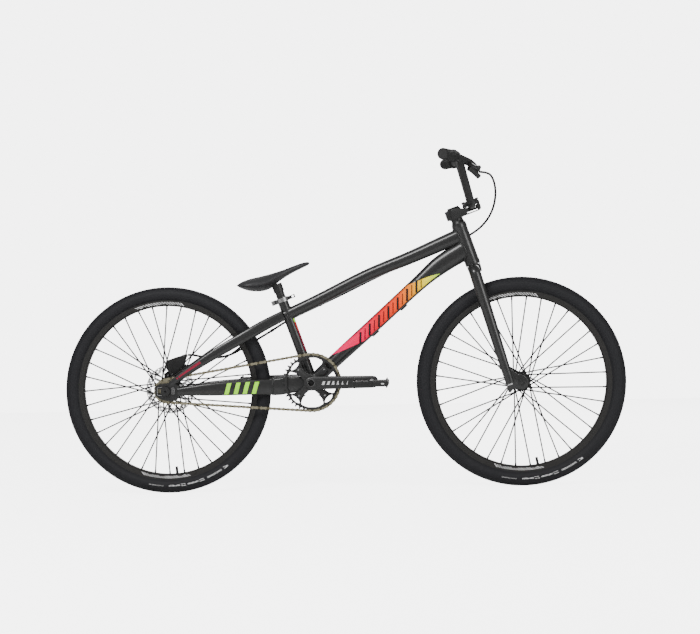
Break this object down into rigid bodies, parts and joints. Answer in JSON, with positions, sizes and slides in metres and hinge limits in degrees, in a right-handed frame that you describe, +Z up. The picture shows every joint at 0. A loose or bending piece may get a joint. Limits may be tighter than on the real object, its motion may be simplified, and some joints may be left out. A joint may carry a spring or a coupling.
{
  "type": "bmx bike",
  "caption": "Black alloy BMX race cruiser bike with a hydroformed frame, rear disc brake, platform pedals and knob-light tyres.",
  "frame": {"origin": "on the ground midway between the ends of the tyres, in the bike's centre plane", "axes": "+X towards the front wheel, +Y to the rider's left, +Z up"},
  "size_m": [1.6054, 0.7378, 0.9528],
  "materials": {
    "frame_paint": "gloss black paint with a gradient panel on the down tube",
    "black_alloy": "satin black anodised aluminium",
    "black_steel": "black oxide steel",
    "lever_alloy": "satin black forged aluminium",
    "crank_alloy": "satin black forged aluminium",
    "silver_alloy": "machined aluminium",
    "bolt_steel": "zinc plated steel",
    "rotor_steel": "ground stainless steel",
    "chain_steel": "nickel plated steel, lightly oiled",
    "spoke_black": "black oxide stainless steel",
    "rim_black": "satin black anodised aluminium",
    "tyre_rubber": "matt black rubber",
    "tube_rubber": "butyl rubber",
    "grip_rubber": "ribbed soft rubber",
    "seat_plastic": "moulded plastic, satin",
    "pedal_plastic": "moulded nylon",
    "hose_plastic": "black hose jacket",
    "pad_compound": "sintered pad on a steel back"
  },
  "bodies": {
    "frame": {"head_tube": "frame_paint", "top_tube": "frame_paint", "down_tube": "frame_paint", "seat_tube": "frame_paint", "bb_shell": "frame_paint", "chainstay_yoke": "frame_paint", "chainstays": "frame_paint", "seatstays": "frame_paint", "right_dropout": "frame_paint", "left_dropout": "frame_paint", "chain_tensioners": "silver_alloy", "headset_bearings": "black_alloy", "bb_cups": "black_alloy", "seat_collar": "silver_alloy", "hose_clips": "hose_plastic", "brake_caliper": "black_alloy", "caliper_bolts": "bolt_steel", "rear_axle": "black_alloy", "chain": "chain_steel", "brake_hose": "hose_plastic"},
    "collar_lever": {"collar_lever": "lever_alloy"},
    "outer_pad": {"outer_brake_pad": "pad_compound"},
    "inner_pad": {"inner_brake_pad": "pad_compound"},
    "seat": {"seatpost": "black_alloy", "saddle": "seat_plastic"},
    "fork": {"fork_crown": "frame_paint", "fork_legs": "frame_paint", "fork_dropouts": "frame_paint", "front_axle": "black_alloy", "stem_body": "black_alloy", "stem_cap": "black_alloy", "stem_bolts": "black_steel", "headset_spacers": "black_alloy", "handlebar": "black_alloy", "crossbar": "black_alloy", "grips": "grip_rubber", "bar_plugs": "pedal_plastic", "lever_perch": "lever_alloy"},
    "brake_lever": {"brake_lever": "lever_alloy"},
    "front_wheel": {"front_hub": "black_alloy", "front_spokes": "spoke_black", "front_rim": "rim_black", "front_tyre": "tyre_rubber", "front_inner_tube": "tube_rubber"},
    "rear_wheel": {"rear_hub": "black_alloy", "rear_spokes": "spoke_black", "rear_rim": "rim_black", "rear_tyre": "tyre_rubber", "rear_inner_tube": "tube_rubber", "disc_rotor": "rotor_steel", "rotor_bolts": "bolt_steel"},
    "cog": {"rear_cog": "chain_steel"},
    "crank": {"crank_spindle": "silver_alloy", "right_crank": "crank_alloy", "left_crank": "crank_alloy", "chainring": "crank_alloy", "chainring_bolts": "black_steel", "pedal_axles": "bolt_steel"},
    "right_pedal": {"right_pedal": "pedal_plastic"},
    "left_pedal": {"left_pedal": "pedal_plastic"}
  },
  "joints": [
    {"name": "steering", "type": "hinge", "parent": "frame", "child": "fork", "pos_m": [0.49002, 0, 0.29374], "axis": [-0.3173, 0, 0.9483], "range_deg": [-60, 60], "deforming": ["brake_hose"]},
    {"name": "front_wheel_spin", "type": "hinge", "parent": "fork", "child": "front_wheel", "pos_m": [0.50425, 0, 0.2985], "axis": [0, 1, 0], "continuous": true},
    {"name": "rear_wheel_spin", "type": "hinge", "parent": "frame", "child": "rear_wheel", "pos_m": [-0.50675, 0, 0.296], "axis": [0, 1, 0], "continuous": true},
    {"name": "crank_spin", "type": "hinge", "parent": "frame", "child": "crank", "pos_m": [-0.09075, 0, 0.311], "axis": [0, 1, 0], "continuous": true, "deforming": ["chain"]},
    {"name": "cog_spin", "type": "hinge", "parent": "frame", "child": "cog", "pos_m": [-0.50675, 0, 0.296], "axis": [0, 1, 0], "continuous": true},
    {"name": "right_pedal_spin", "type": "hinge", "parent": "crank", "child": "right_pedal", "pos_m": [0.08175, 0, 0.311], "axis": [0, 1, 0], "continuous": true},
    {"name": "left_pedal_spin", "type": "hinge", "parent": "crank", "child": "left_pedal", "pos_m": [-0.26325, 0, 0.311], "axis": [0, 1, 0], "continuous": true},
    {"name": "seat_height", "type": "slide", "parent": "frame", "child": "seat", "axis": [-0.3256, 0, 0.9455], "range_m": [-0.012, 0.05]},
    {"name": "collar_release", "type": "hinge", "parent": "frame", "child": "collar_lever", "pos_m": [-0.19734, 0.015, 0.53764], "axis": [-0.3256, 0, 0.9455], "range_deg": [0, 120]},
    {"name": "brake_squeeze", "type": "hinge", "parent": "fork", "child": "brake_lever", "pos_m": [0.37225, -0.19, 0.913], "axis": [-0.4848, 0, -0.8746], "range_deg": [0, 20], "stiffness_Nm_per_rad": 0.6, "springref_deg": -5.73},
    {"name": "outer_pad_slide", "type": "slide", "parent": "frame", "child": "outer_pad", "axis": [0, -1, 0], "range_m": [0, 0.0003]},
    {"name": "inner_pad_slide", "type": "slide", "parent": "frame", "child": "inner_pad", "axis": [0, 1, 0], "range_m": [0, 0.0003]}
  ],
  "couplings": [
    {"joint": "cog_spin", "follows": "crank_spin", "ratio": 2.5},
    {"joint": "outer_pad_slide", "follows": "brake_squeeze", "m_per_rad": 0.00085},
    {"joint": "inner_pad_slide", "follows": "brake_squeeze", "m_per_rad": 0.00085}
  ]
}
